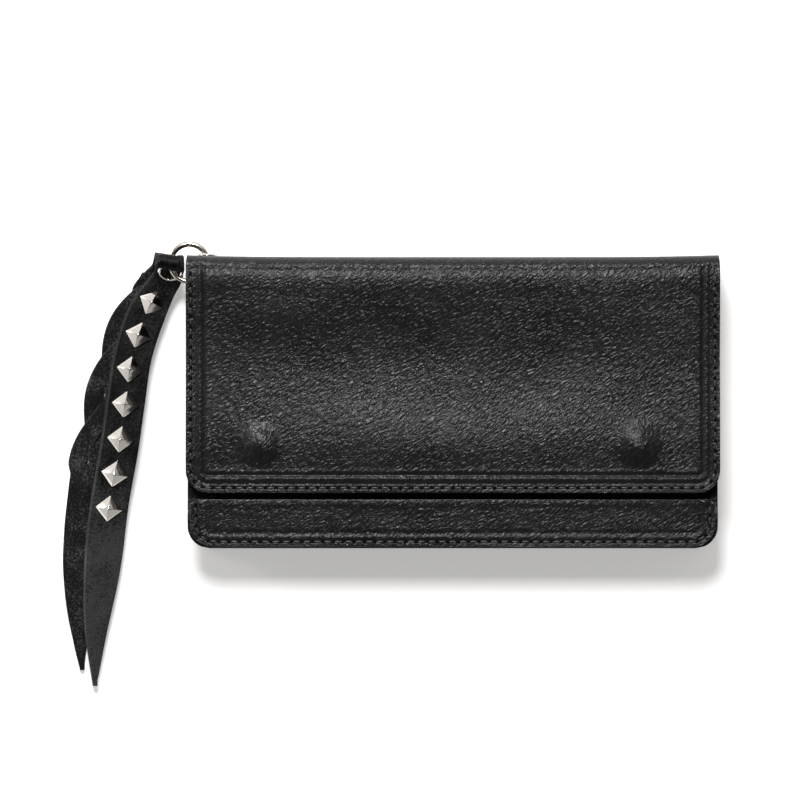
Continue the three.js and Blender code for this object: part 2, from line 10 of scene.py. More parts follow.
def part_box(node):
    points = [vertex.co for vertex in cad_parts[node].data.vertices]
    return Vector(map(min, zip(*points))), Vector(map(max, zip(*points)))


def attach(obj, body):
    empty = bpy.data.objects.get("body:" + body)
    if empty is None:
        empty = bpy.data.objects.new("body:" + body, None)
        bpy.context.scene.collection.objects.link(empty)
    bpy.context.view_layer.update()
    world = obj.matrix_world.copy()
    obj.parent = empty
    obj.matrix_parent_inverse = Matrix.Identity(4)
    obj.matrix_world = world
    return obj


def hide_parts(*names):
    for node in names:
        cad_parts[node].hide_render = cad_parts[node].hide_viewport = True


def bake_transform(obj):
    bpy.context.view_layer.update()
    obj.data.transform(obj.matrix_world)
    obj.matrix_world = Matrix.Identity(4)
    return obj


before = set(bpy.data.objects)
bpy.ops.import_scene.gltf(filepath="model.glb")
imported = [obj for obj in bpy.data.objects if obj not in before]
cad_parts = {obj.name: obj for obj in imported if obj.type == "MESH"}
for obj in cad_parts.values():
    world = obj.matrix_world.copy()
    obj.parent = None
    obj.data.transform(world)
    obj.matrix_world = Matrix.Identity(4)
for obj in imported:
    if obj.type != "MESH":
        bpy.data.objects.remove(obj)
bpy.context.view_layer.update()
MM = 0.001

# ---- camera: straight above the wallet, on a long lens ----
# It stands far off, so the leather shows almost no perspective. The wallet lies a little right
# of the middle, which leaves room for the strap.
flap_low, flap_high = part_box("cover_flap")
view_centre = Vector((-18.8 * MM, 0.9 * MM, flap_high.z))
view_width = 284 * MM
camera_height = 1.3
camera_data = bpy.data.cameras.new("camera")
camera_data.sensor_width = 36
camera_data.lens = camera_data.sensor_width * camera_height / view_width
camera = bpy.data.objects.new("camera", camera_data)
camera.location = view_centre + Vector((0, 0, camera_height))
bpy.context.collection.objects.link(camera)
bpy.context.scene.camera = camera


# ---- light: a soft box high on the upper left, and a weaker one low on the left ----
# Both are discs, in a pale room. The room's ceiling is dark, so leather that faces up stays
# black, and its walls are brighter towards the upper left.
def soft_box(name, place, size, power):
    """A disc of light at a place, turned to the wallet's middle."""
    data = bpy.data.lights.new(name, "AREA")
    data.shape = "DISK"
    data.size = size
    data.energy = power
    data.color = (1.0, 0.985, 0.965)
    lamp = bpy.data.objects.new(name, data)
    lamp.location = place
    lamp.rotation_euler = (-Vector(place)).to_track_quat("-Z", "Y").to_euler()
    bpy.context.collection.objects.link(lamp)


soft_box("key_light", (-0.14, 0.68, 1.05), 0.40, 17)
soft_box("side_light", (-1.0, 0.55, 0.32), 0.3, 2.2)

world = bpy.data.worlds.new("pale_room")
bpy.context.scene.world = world
world.use_nodes = True
sky = world.node_tree
direction = sky.nodes.new("ShaderNodeTexCoord").outputs["Generated"]
height = sky.nodes.new("ShaderNodeSeparateXYZ")
shade = sky.nodes.new("ShaderNodeMapRange")
shade.interpolation_type = "SMOOTHSTEP"
for place, value in enumerate((0.35, 0.80, 1.0, 0.05), 1):
    shade.inputs[place].default_value = value
sky.links.new(direction, height.inputs[0])
sky.links.new(height.outputs["Z"], shade.inputs[0])
facing = sky.nodes.new("ShaderNodeVectorMath")
facing.operation = "DOT_PRODUCT"
facing.inputs[1].default_value = (-0.55, 0.83, 0)
side = sky.nodes.new("ShaderNodeMapRange")
for place, value in enumerate((-0.5, 0.5, 0.5, 1.0), 1):
    side.inputs[place].default_value = value
both = sky.nodes.new("ShaderNodeMath")
both.operation = "MULTIPLY"
sky.links.new(direction, facing.inputs[0])
sky.links.new(facing.outputs["Value"], side.inputs[0])
sky.links.new(shade.outputs[0], both.inputs[0])
sky.links.new(side.outputs[0], both.inputs[1])
sky.links.new(both.outputs[0], sky.nodes["Background"].inputs["Color"])
sky.nodes["Background"].inputs["Strength"].default_value = 1.0
bpy.context.scene.view_settings.view_transform = "Standard"
bpy.context.scene.view_settings.look = "None"


# ---- floor: a plain white table top ----
# The wallet lies on it, back down, and it glows a little so that it stays white round the
# shadow. Its finish is the first one, so what writes a finish stands here.
class Value:
    """A number that varies over a surface. Sums on it add Math nodes."""

    def __init__(self, finish, link):
        self.finish = finish
        self.link = link

    def sum(self, kind, *terms):
        return self.finish.node("ShaderNodeMath", {"operation": kind}, *terms)

    def __add__(self, other):
        return self.sum("ADD", self, other)

    def __sub__(self, other):
        return self.sum("SUBTRACT", self, other)

    def __rsub__(self, other):
        return self.sum("SUBTRACT", other, self)

    def __mul__(self, other):
        return self.sum("MULTIPLY", self, other)

    __radd__ = __add__
    __rmul__ = __mul__

    def band(self, start, end):
        """0 below start and 1 above end, with a smooth step between."""
        return self.finish.node(
            "ShaderNodeMapRange", {"interpolation_type": "SMOOTHSTEP"}, self, start, end, 0.0, 1.0
        )


class Finish:
    """A material built node by node round one Principled shader."""

    def __init__(self, name, **sockets):
        self.material = bpy.data.materials.new(name)
        self.material.use_nodes = True
        self.tree = self.material.node_tree
        self.shader = self.tree.nodes["Principled BSDF"]
        for socket, value in sockets.items():
            self.shader.inputs[socket.replace("_", " ")].default_value = value

    def node(self, kind, settings, *inputs, out=0, **named):
        made = self.tree.nodes.new(kind)
        for key, value in settings.items():
            setattr(made, key, value)
        for key, value in [*enumerate(inputs), *named.items()]:
            socket = made.inputs[key.replace("_", " ") if isinstance(key, str) else key]
            if isinstance(value, Value):
                self.tree.links.new(value.link, socket)
            elif value is not None:
                socket.default_value = value
        return Value(self, made.outputs[out])

    def feed(self, socket, value):
        self.tree.links.new(value.link, self.shader.inputs[socket])

    def place(self, uv=None):
        """Where a point is: on the piece's own UV map, or in the wallet's frame."""
        if uv:
            return self.node("ShaderNodeUVMap", {"uv_map": uv})
        return self.node("ShaderNodeTexCoord", {}, out="Object")

    def scaled(self, place, scale, turn=0.0):
        sizes = scale if isinstance(scale, tuple) else (scale,) * 3
        return self.node("ShaderNodeMapping", {}, place, Rotation=(0, 0, turn), Scale=sizes)

    def noise(self, place, scale, detail=2.0, rough=0.5):
        return self.node("ShaderNodeTexNoise", {}, place, Scale=scale, Detail=detail, Roughness=rough)

    def mix(self, share, first, second):
        made = self.tree.nodes.new("ShaderNodeMix")
        made.data_type = "RGBA"
        for socket, value in ((0, share), (6, first), (7, second)):
            if isinstance(value, Value):
                self.tree.links.new(value.link, made.inputs[socket])
            else:
                made.inputs[socket].default_value = value
        return Value(self, made.outputs[2])

    def bump(self, height, distance, strength=1.0):
        made = self.node("ShaderNodeBump", {}, Strength=strength, Distance=distance, Height=height)
        self.feed("Normal", made)


floor_mesh = bmesh.new()
bmesh.ops.create_grid(floor_mesh, x_segments=1, y_segments=1, size=3)
floor_data = bpy.data.meshes.new("floor")
floor_mesh.to_mesh(floor_data)
floor = bpy.data.objects.new("floor", floor_data)
floor.location.z = -0.1 * MM
bpy.context.collection.objects.link(floor)
floor_finish = Finish("white_table", Base_Color=(0.93, 0.93, 0.93, 1), Roughness=0.9)
floor_finish.shader.inputs["Emission Color"].default_value = (1, 0.985, 0.97, 1)
floor_finish.shader.inputs["Emission Strength"].default_value = 0.34
floor_data.materials.append(floor_finish.material)


# ---- outer cover: one piece of pebbled black leather, 1.6 mm thick ----
# It runs from the back panel's lower edge up the back, over the spine and the fold, and down
# the flap. Its edges are cut, rounded and burnished.
def black_leather(name, lean, grain=1.0, base=(0.0036, 0.0036, 0.0039, 1)):
    """Pebbled leather on a piece's unrolled UV map, in metres. Its grain leans by an angle."""
    finish = Finish(name, IOR=1.34)
    flat = finish.scaled(finish.place("leather"), 1 / MM)
    long = finish.scaled(finish.scaled(flat, 1, math.radians(lean)), (0.56, 1.18, 1.0))
    drift = finish.node("ShaderNodeTexNoise", {}, flat, Scale=0.3, Detail=1.0, out=1)
    shifted = finish.node(
        "ShaderNodeVectorMath", {"operation": "MULTIPLY_ADD"}, drift, (1.6, 1.6, 0.0), long
    )
    cells = finish.node("ShaderNodeTexVoronoi", {"feature": "DISTANCE_TO_EDGE"}, shifted, Scale=0.60)
    small = finish.node("ShaderNodeTexVoronoi", {"feature": "DISTANCE_TO_EDGE"}, shifted, Scale=1.3)
    fine = finish.noise(flat, 2.4, 3.0, 0.6)
    pebble = cells.band(0.0, 0.40) * 0.66 + small.band(0.0, 0.3) * 0.26 + fine * 0.08
    soft = finish.noise(flat, 0.05, 3.0)
    light = tuple(4.5 * c for c in base[:3]) + (1,)
    # The colour is darker in the creases between the pebbles, which is painted shade, and it varies in broad
    # random patches, which is the leather's own tone.
    finish.feed("Base Color", finish.mix(pebble * 0.6 + soft.band(0.35, 0.7) * 0.25, base, light))
    finish.feed("Roughness", 0.36 - pebble * 0.06 + (soft - 0.5) * 0.12)
    finish.bump(pebble, 0.20 * MM * grain)
    return finish.material


def burnished(name):
    """Cut leather edges rubbed with dressing until they shine."""
    finish = Finish(name, IOR=1.8)
    paler = finish.noise(finish.place(), 900.0, 3.0)
    finish.feed("Base Color", finish.mix(paler, (0.008, 0.008, 0.009, 1), (0.035, 0.034, 0.034, 1)))
    finish.feed("Roughness", paler * 0.2 + 0.2)
    finish.bump(paler, 0.05 * MM, 0.6)
    return finish.material


def spread(*stops):
    """Places between stops, each stretch cut to its own step: (from, to, step), ..."""
    places = []
    for start, end, step in stops:
        count = max(1, round((end - start) / step))
        places += [start + (end - start) * i / count for i in range(count)]
    return places + [stops[-1][1]]


def unroll(made, flat):
    """Smooth faces, with each point's place on the flat leather as its UV, in metres."""
    uv_layer = made.loops.layers.uv["leather"]
    for face in made.faces:
        face.smooth = True
        for loop in face.loops:
            loop[uv_layer].uv = flat[loop.vert]


def laid_grid(columns, rows, place_point, uv_point):
    """A bmesh grid of columns and rows with its points placed, and their unrolled places."""
    made = bmesh.new()
    wide, tall = len(columns) - 1, len(rows) - 1
    bmesh.ops.create_grid(made, x_segments=wide, y_segments=tall, size=1)
    made.loops.layers.uv.new("leather")
    flat = {}
    for vert in made.verts:
        column = columns[round((vert.co.x + 1) / 2 * wide)]
        row = rows[round((vert.co.y + 1) / 2 * tall)]
        flat[vert] = uv_point(column, row)
        vert.co = place_point(column, row)
    unroll(made, flat)
    return made, flat


def ship(made, name, materials, smooth_to=None):
    """Makes an object of a finished bmesh."""
    data = bpy.data.meshes.new(name)
    made.to_mesh(data)
    made.free()
    for material in materials:
        data.materials.append(material)
    piece = bpy.data.objects.new(name, data)
    bpy.context.collection.objects.link(piece)
    if smooth_to:
        data.shade_smooth()
        data.set_sharp_from_angle(angle=math.radians(smooth_to))
    return piece


def finish_sheet(name, made, thickness, edge, materials):
    """Gives an open bmesh sheet its thickness inwards, rounds its rim and makes the object."""
    piece = ship(made, name, materials)
    solid = piece.modifiers.new("thickness", "SOLIDIFY")
    solid.thickness = thickness
    solid.offset = -1
    solid.material_offset_rim = 1 if len(materials) > 1 else 0
    solid.use_even_offset = True
    if edge:
        rounding = piece.modifiers.new("rounded_edge", "BEVEL")
        rounding.width = edge
        rounding.segments = 3
        rounding.limit_method = "ANGLE"
        rounding.angle_limit = math.radians(50)
        rounding.material = 1 if len(materials) > 1 else -1
    bake_modifiers(piece)
    return piece


def bake_modifiers(piece):
    """Applies a piece's modifiers to its mesh."""
    bpy.context.view_layer.update()
    shaped = piece.evaluated_get(bpy.context.evaluated_depsgraph_get())
    data = bpy.data.meshes.new_from_object(shaped)
    old = piece.data
    piece.modifiers.clear()
    piece.data = data
    bpy.data.meshes.remove(old)
    data.name = piece.name


def rounded(x, y, half, low, radius):
    """How far a point lies inside a sheet whose two lower corners are rounded."""
    side = half - abs(x)
    under = y - low
    if side < radius and under < radius:
        return radius - math.hypot(radius - side, radius - under)
    return min(side, under)


def step(value, start, end):
    """0 at start and 1 at end, with a smooth step between."""
    share = min(max((value - start) / (end - start), 0), 1)
    return share * share * (3 - 2 * share)


def hump(value, centre, width):
    """1 at the centre, falling smoothly to 0 at width on either side."""
    return 1 - step(abs(value - centre), 0, width)


half = flap_high.x
half_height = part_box("cover_back")[1].y
fold_radius = 5 * MM
leather_thick = 1.6 * MM
corner_radius = 8 * MM
flap_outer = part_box("flap_lining")[1].z + 0.3 * MM + leather_thick
flap_edge = flap_low.y
roll_y = half_height - fold_radius
roll_z = flap_outer - fold_radius
heel = 2.9 * MM
caps = [sum(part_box(f"snap_cap_{side}"), Vector()) / 2 for side in ("left", "right")]
dome_x = [cap.x for cap in caps]
dome_y = caps[0].y
dome_sizes = (8.0 * MM, 9.2 * MM)
dome_rise = 2.0 * MM
# Lines and beads tooled along an edge: rise, distance in from the edge and half width, in mm.
flap_tooling = ((-0.42, 3.3, 0.9), (0.30, 4.9, 1.1), (-0.45, 6.3, 0.9), (0.18, 7.6, 1.3), (-0.25, 1.7, 1.0))
back_tooling = ((0.35, 3.3, 0.9), (0.25, 1.7, 1.0))

# Lengths along the unrolled leather, from the back's lower edge.
back_run = half_height * 2 - heel
heel_run = back_run + heel * math.pi / 2
spine_run = heel_run + roll_z - heel
roll_run = spine_run + fold_radius * math.pi / 2
flap_run = roll_run + roll_y - flap_edge


def cover_profile(run, inset=0.0):
    """Y and Z of the unrolled leather at a length along it, and the way out of its face."""
    if run < back_run:
        return Vector((0, -half_height + run, inset)), Vector((0, 0, -1))
    if run < heel_run:
        a = (run - back_run) / heel
        out = Vector((0, math.sin(a), -math.cos(a)))
        return Vector((0, half_height - heel, heel)) + out * (heel - inset), out
    if run < spine_run:
        return Vector((0, half_height - inset, heel + run - heel_run)), Vector((0, 1, 0))
    if run < roll_run:
        a = (run - spine_run) / fold_radius
        out = Vector((0, math.cos(a), math.sin(a)))
        return Vector((0, roll_y, roll_z)) + out * (fold_radius - inset), out
    return Vector((0, roll_y - (run - roll_run), flap_outer - inset)), Vector((0, 0, 1))


def tooled(inside, tooling):
    """Height of the tooled lines at a distance in from the edge."""
    return sum(rise * MM * hump(inside, at * MM, reach * MM) for rise, at, reach in tooling)


def sag(y):
    """How far the leather settles between the fold and the snaps."""
    return 1.1 * MM * hump(y, 14 * MM, 30 * MM)


def flap_relief(x, y):
    """Height of the flap's surface above its plane: snap domes, creases and soft waves."""
    height = 0.0
    for centre, size in zip(dome_x, dome_sizes):
        away = math.hypot(x - centre, y - dome_y) / size
        if away < 1.6:
            height = max(height, dome_rise * (1 - step(away, 0.1, 1.08)))
    inside = rounded(x, y, half, flap_edge, corner_radius)
    height += tooled(inside, flap_tooling)
    # The leather sags behind the fold and rises again over the coin pouch.
    across = step(abs(x), half, 0.25 * half)
    height -= 0.75 * MM * hump(y, roll_y + 1.0 * MM, 2.6 * MM)
    height += 0.25 * MM * hump(y, roll_y - 4 * MM, 6 * MM)
    height -= sag(y) + 0.9 * MM * hump(y, 16 * MM, 26 * MM) * across
    height += 1.0 * MM * hump(y, -17 * MM, 20 * MM) * across
    wave = noise.noise(Vector((x / (30 * MM), y / (20 * MM), 3.7)))
    return height + 0.45 * MM * wave * step(inside, 4 * MM, 20 * MM)


def back_relief(x, y):
    return tooled(rounded(x, y, half, -half_height, corner_radius), back_tooling)


def corner_shrink(run, radius):
    """How much shorter a row is where the sheet's lower corners round off."""
    reach = min(run, flap_run - run)
    if reach >= radius:
        return 0.0
    return radius - math.sqrt(max(radius**2 - (radius - reach) ** 2, 0))


def cover_point(x, run, inset):
    """Where the cover's leather is, x across it and run along it, at an inset from its face."""
    base, out = cover_profile(run, inset)
    narrowing = 0.3 * MM * (1 - step(run, spine_run, roll_run)) + inset * 0.25
    reach = half - narrowing - corner_shrink(run, corner_radius)
    base.x = x / half * reach
    if run > roll_run - fold_radius * 0.6:
        share = step(run, roll_run - fold_radius * 0.6, roll_run + 2 * MM)
        relief = flap_relief(base.x, base.y)
        base += out * share * (min(relief, 0.2 * MM) if inset else relief)
    elif run < back_run:
        base.z += back_relief(base.x, base.y)
    # The fold sinks a little along its middle, as soft leather does between stiff ends.
    slack = 1.0 * MM * (1 - (x / half) ** 4) * step(run, heel_run, roll_run)
    base.y -= slack * (1 - step(run, roll_run, roll_run + 30 * MM))
    return base


# The grid is finer along the edges, where the tooling is.
edge_steps = 0.45 * MM
edge_zone = 9 * MM
x_places = spread(
    (-half, -half + edge_zone, edge_steps),
    (-half + edge_zone, half - edge_zone, 1.7 * MM),
    (half - edge_zone, half, edge_steps),
)
runs = spread(
    (0, 8 * MM, 0.6 * MM),
    (8 * MM, back_run, 3.0 * MM),
    (back_run, heel_run, heel * 0.4),
    (heel_run, spine_run, 0.9 * MM),
    (spine_run, roll_run, 0.5 * MM),
    (roll_run, roll_run + 6 * MM, 0.6 * MM),
    (roll_run + 6 * MM, flap_run - edge_zone, 1.5 * MM),
    (flap_run - edge_zone, flap_run, edge_steps),
)
cover_leather = black_leather("pebbled_leather", 42)
edge_dressing = burnished("burnished_edge")
eyelet_low, eyelet_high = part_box("spine_eyelet")
eyelet_middle = (eyelet_low + eyelet_high) / 2
eyelet_hole = 2.9 * MM


def wrapped_sheet(name, inset, thickness, edge, materials):
    """A layer of the cover, inset from its face, with the eyelet's hole left open."""
    made, flat = laid_grid(
        x_places, runs, lambda x, run: cover_point(x, run, inset), lambda x, run: (x, run)
    )
    bmesh.ops.reverse_faces(made, faces=made.faces)
    hole = []
    for face in made.faces:
        away = face.calc_center_median() - eyelet_middle
        on_spine = heel_run < flat[face.verts[0]][1] < spine_run
        if on_spine and math.hypot(away.x, away.z) < eyelet_hole:
            hole.append(face)
    bmesh.ops.delete(made, geom=hole, context="FACES")
    return finish_sheet(name, made, thickness, edge, materials)


cover = wrapped_sheet("outer_cover", 0, leather_thick, 0.55 * MM, [cover_leather, edge_dressing])
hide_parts("cover_back", "cover_fold", "cover_flap")
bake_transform(cover)


# ---- lining: smooth black calf, 0.7 mm thick, glued inside the whole cover ----
# It follows the back, the spine, the fold and the flap.
def smooth_leather(name, base=(0.011, 0.011, 0.012, 1), rough=0.5):
    """Smooth calf with fine pores, on the piece's unrolled UV map."""
    finish = Finish(name, IOR=1.48)
    flat = finish.scaled(finish.place("leather"), 1 / MM)
    pores = finish.node("ShaderNodeTexVoronoi", {"feature": "DISTANCE_TO_EDGE"}, flat, Scale=2.6)
    rubbed = finish.noise(flat, 0.08, 3.0)
    skin = pores.band(0.0, 0.25) * 0.5 + finish.noise(flat, 5.0, 2.0) * 0.5
    finish.feed("Base Color", finish.mix(rubbed, base, tuple(2.2 * c for c in base[:3]) + (1,)))
    finish.feed("Roughness", rubbed * 0.18 + (rough - 0.08))
    finish.bump(skin, 0.05 * MM)
    return finish.material


lining_leather = smooth_leather("lining_calf")
lining_inset = 1.9 * MM
lining_thick = 0.7 * MM
lining = wrapped_sheet("cover_lining", lining_inset, lining_thick, 0.2 * MM, [lining_leather])
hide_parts("back_lining", "spine_lining", "flap_lining")
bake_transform(lining)


# ---- ring: a welded O-ring of 2.1 mm wire, through the spine's eyelet ----
# It is bent from round wire and plated with polished nickel, as the eyelets, studs, snaps and
# zip are. Its plate is given the darkest tint.
def polished_nickel(name, rough=0.13, tint=(0.78, 0.735, 0.68, 1)):
    """Nickel plate, dulled a little where hands have been, with hairline scratches."""
    finish = Finish(name, Metallic=1.0)
    handled = finish.noise(finish.place(), 420.0, 4.0, 0.65)
    scratches = finish.noise(finish.scaled(finish.place(), (2600, 300, 900), 0.7), 1.0, 2.0)
    finish.feed("Base Color", finish.mix(handled, tuple(0.82 * c for c in tint[:3]) + (1,), tint))
    finish.feed("Roughness", handled * 0.10 + scratches * 0.05 + (rough - 0.06))
    finish.bump(handled * 0.6 + scratches * 0.4, 0.012 * MM, 0.5)
    return finish.material


nickel = polished_nickel("polished_nickel")
ring_low, ring_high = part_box("ring")
ring_middle = (ring_low + ring_high) / 2
wire_radius = (ring_high.z - ring_low.z) / 2
ring_radius = (ring_high.x - ring_low.x) / 2 - wire_radius
made = bmesh.new()
bmesh.ops.create_circle(
    made, cap_ends=False, segments=24, radius=wire_radius,
    matrix=Matrix.Translation((ring_radius, 0, 0)) @ Matrix.Rotation(math.pi / 2, 4, "X"),
)
bmesh.ops.spin(
    made, geom=made.verts[:] + made.edges[:], cent=(0, 0, 0), axis=(0, 0, 1),
    angle=2 * math.pi, steps=96, use_merge=True,
)
bmesh.ops.remove_doubles(made, verts=made.verts, dist=0.002 * MM)
bmesh.ops.recalc_face_normals(made, faces=made.faces)
bmesh.ops.translate(made, vec=ring_middle, verts=made.verts)
ring_nickel = polished_nickel("ring_nickel", 0.18, (0.60, 0.55, 0.485, 1))
ring = ship(made, "o_ring", [ring_nickel], 60)
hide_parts("ring")
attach(ring, "ring")


# ---- spine eyelet and its washer: a rolled nickel tube set in the spine ----
# It is turned, pushed through the leather and rolled over a washer on the inside. The washer
# and the two snaps are stamped parts, whose sharp rims are eased.
def turned_piece(name, profile, middle, axis, materials):
    """A turned piece: [radius, height] corners spun about an axis through its middle."""
    made = bmesh.new()
    corners = [made.verts.new((radius, 0, height)) for radius, height in profile]
    edges = [made.edges.new(pair) for pair in zip(corners, corners[1:] + corners[:1])]
    bmesh.ops.bevel(
        made, geom=corners, offset=0.07 * MM, affect="VERTICES", segments=3, profile=0.5, material=-1
    )
    bmesh.ops.spin(
        made, geom=made.verts[:] + made.edges[:], cent=(0, 0, 0), axis=(0, 0, 1),
        angle=2 * math.pi, steps=64, use_merge=True,
    )
    bmesh.ops.remove_doubles(made, verts=made.verts, dist=0.002 * MM)
    bmesh.ops.recalc_face_normals(made, faces=made.faces)
    upright = Vector((0, 0, 1)).rotation_difference(Vector(axis)).to_matrix().to_4x4()
    bmesh.ops.transform(made, matrix=Matrix.Translation(middle) @ upright, verts=made.verts)
    return ship(made, name, materials, 40)


bore = 2.0 * MM
spine_out = eyelet_high.y
rolled_section = [
    (bore, -5.0 * MM), (bore + 0.4 * MM, -5.0 * MM), (bore + 0.4 * MM, -0.45 * MM),
    (3.8 * MM, -0.45 * MM), (3.6 * MM, -0.05 * MM), (2.9 * MM, 0.12 * MM), (bore + 0.2 * MM, 0),
]
spine_eyelet = turned_piece(
    "rolled_spine_eyelet", rolled_section, Vector((eyelet_middle.x, spine_out, eyelet_middle.z)),
    (0, 1, 0), [nickel],
)
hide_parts("spine_eyelet")
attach(spine_eyelet, "body")


def eased(node, body, width=0.12 * MM, sharp=30):
    """A hard metal node with its edges rounded off, in nickel."""
    made = bmesh.new()
    made.from_mesh(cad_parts[node].data)
    bmesh.ops.remove_doubles(made, verts=made.verts, dist=0.01 * MM)
    bmesh.ops.dissolve_limit(made, angle_limit=math.radians(1), verts=made.verts, edges=made.edges)
    rims = [edge for edge in made.edges if edge.calc_face_angle(0) > math.radians(sharp)]
    bmesh.ops.bevel(
        made, geom=rims, offset=width, affect="EDGES", segments=2, profile=0.5, material=-1,
        clamp_overlap=True,
    )
    metal = ship(made, f"eased_{node}", [nickel], 28)
    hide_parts(node)
    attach(metal, body)


eased("spine_washer", "body", 0.08 * MM)
for side in ("left", "right"):
    for part, body in (("cap", "flap"), ("socket", "flap"), ("stud", "front"), ("post", "front")):
        eased(f"snap_{part}_{side}", body)

# ---- front pocket: a panel of the same pebbled leather, 1.6 mm thick, lined with calf ----
# Its top edge is straight and lies under the flap. Its leather is a darker copy, painted shade
# for the gap under the flap. A thinner band is stitched across its foot.
def row_reach(y, low, high, wide, low_radius, high_radius):
    """Half the width of a sheet's row at y, where its corners round off."""
    for reach, radius in ((y - low, low_radius), (high - y, high_radius)):
        if reach < radius:
            return wide - radius + math.sqrt(max(radius**2 - (radius - reach) ** 2, 0))
    return wide


def flat_sheet(node, name, body, radii, relief, edge, materials, coarse=2.4 * MM):
    """A flat leather piece in a node's place: rounded corners, a relief and a dressed edge."""
    low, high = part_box(node)
    fine, rim = 0.7 * MM, min(7 * MM, (high.y - low.y) * 0.4)
    wide = high.x
    columns = spread((-wide, rim - wide, fine), (rim - wide, wide - rim, coarse), (wide - rim, wide, fine))
    rows = spread(
        (low.y, low.y + rim, fine), (low.y + rim, high.y - rim, coarse), (high.y - rim, high.y, fine)
    )

    def place(x, y):
        across = x / wide * row_reach(y, low.y, high.y, wide, *radii)
        return Vector((across, y, high.z + relief(across, y)))

    made, _ = laid_grid(columns, rows, place, lambda x, y: (x, y))
    piece = finish_sheet(name, made, high.z - low.z, edge, materials)
    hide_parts(node)
    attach(piece, body)
    return piece


front_low, front_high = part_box("front_panel")
band_low, band_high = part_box("front_band")
front_leather = black_leather("front_leather", -42)
# A darker copy of the pebbled leather: painted shade for the front panel, which shows only in the gap under
# the flap.
painted_shade_leather = black_leather("painted_shade_leather", -42, 0.7, (0.0012, 0.0012, 0.0013, 1))
panel_corners = (8 * MM, 1 * MM)
band_tooling = ((-0.22, 1.9, 0.9), (0.22, 3.4, 1.0), (-0.28, 5.0, 0.9))


def panel_relief(x, y):
    """The panel sinks under the band and sags under the flap. Its top edge has a low bead."""
    wave = noise.noise(Vector((x / (30 * MM), y / (18 * MM), 9.1)))
    under_band = step(y, band_high.y + 1 * MM, band_high.y - 1 * MM)
    bead = 0.15 * MM * hump(y, front_high.y - 2.4 * MM, 1.4 * MM)
    sunk = 0.9 * MM * step(y, front_low.y + 12 * MM, front_low.y + 16 * MM)
    return (0.10 * MM * wave - 0.1 * MM) * (1 - under_band) - 0.12 * MM * under_band - bead - sunk - sag(y)


def band_relief(x, y):
    """Stitch groove, a bead along it and a faint crease across the band's foot."""
    inside = rounded(x, y, band_high.x, band_low.y, corner_radius)
    height = tooled(inside, band_tooling) + 0.16 * MM * hump(y, band_high.y - 1.5 * MM, 1.3 * MM)
    wave = noise.noise(Vector((x / (24 * MM), y / (6 * MM), 5.3)))
    return height + 0.14 * MM * wave * step(inside, 3 * MM, 8 * MM) - 0.1 * MM


flat_sheet(
    "front_panel", "pocket_front", "front", panel_corners, panel_relief, 0.5 * MM,
    [painted_shade_leather, edge_dressing],
)
flat_sheet(
    "front_band", "pocket_band", "front", (8 * MM, 2.5 * MM), band_relief, 0.35 * MM,
    [front_leather, edge_dressing], 1.7 * MM,
)
flat_sheet(
    "front_lining", "pocket_lining", "front", (7 * MM, 1 * MM), lambda x, y: -sag(y), 0.2 * MM,
    [lining_leather], 6 * MM,
)

# ---- card slots: three stepped pockets of thin calf, sewn on the back's lining ----
# Each has its top edge turned over and creased, and a line pressed down its middle, which
# parts it into two slots.
for number in (1, 2, 3):
    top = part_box(f"card_slot_{number}")[1].y

    def slot_relief(x, y):
        turned = 0.12 * MM * hump(y, top - 1.6 * MM, 1.8 * MM)
        crease = 0.14 * MM * hump(y, top - 4.1 * MM, 0.8 * MM)
        middle = 0.12 * MM * hump(x, 0, 1.2 * MM)
        return turned - crease - middle - 0.05 * MM

    flat_sheet(
        f"card_slot_{number}", f"card_pocket_{number}", "body", (1 * MM, 1 * MM), slot_relief, 0.12 * MM,
        [lining_leather], 3.2 * MM,
    )


# ---- gussets: soft calf strips, pleated twice between the back and the front pocket ----
# The two at the sides run up the pocket, and one runs along its foot.
pleats = 2
strip_wide = 20 * MM
strip_thick = 0.55 * MM
seam_gap = 0.35 * MM


def gusset(node, name, outward, length_axis):
    """A pleated strip in a node's place, with its open side facing outward."""
    low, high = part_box(node)
    depth = (high - low).dot(Vector([abs(c) for c in outward]))
    outer = [high[i] if outward[i] > 0 else low[i] for i in range(3)]
    start, end = low[length_axis], high[length_axis]
    rises = spread((0, 1, 1 / 48))
    lengths = spread((start, end, 3 * MM))

    def place(rise, along):
        fold = 0.5 - 0.5 * math.cos(rise * 2 * pleats * math.pi)
        loose = 0.35 * MM * noise.noise(Vector((along / (13 * MM), rise * 3, 2.2)))
        point = Vector(outer)
        point[length_axis] = along
        point.z = low.z + seam_gap + (high.z - low.z - 2 * seam_gap) * rise
        inwards = 0.25 * MM + (depth - 0.9 * MM) * fold + loose * fold
        return point - Vector(outward) * inwards

    made, _ = laid_grid(rises, lengths, place, lambda rise, along: (rise * strip_wide, along))
    piece = finish_sheet(name, made, strip_thick, 0.15 * MM, [lining_leather])
    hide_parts(node)
    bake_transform(piece)


gusset("gusset_left", "side_gusset_left", (-1, 0, 0), 1)
gusset("gusset_right", "side_gusset_right", (1, 0, 0), 1)
gusset("bottom_gusset", "foot_gusset", (0, -1, 0), 0)

# ---- coin pouch: a calf bag between the two pockets, closed by a zip along its mouth ----
# It is one strip of calf folded round and closed along its foot, where it tapers. Its section
# is a flat loop with rounded ends, and its mouth draws in to meet the zip.
pouch_low, pouch_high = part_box("pouch_shell")
pouch_wide, pouch_deep = pouch_high.x, (pouch_high.z - pouch_low.z) / 2
pouch_corner = 2.0 * MM
section = []
for cx, cz, first in ((1, 1, 0), (-1, 1, 90), (-1, -1, 180), (1, -1, 270)):
    for turn in range(0, 91, 15):
        a = math.radians(first + turn)
        section.append((
            cx * (pouch_wide - pouch_corner) + pouch_corner * math.cos(a),
            cz * (pouch_deep - pouch_corner) + pouch_corner * math.sin(a),
        ))
section.append(section[0])


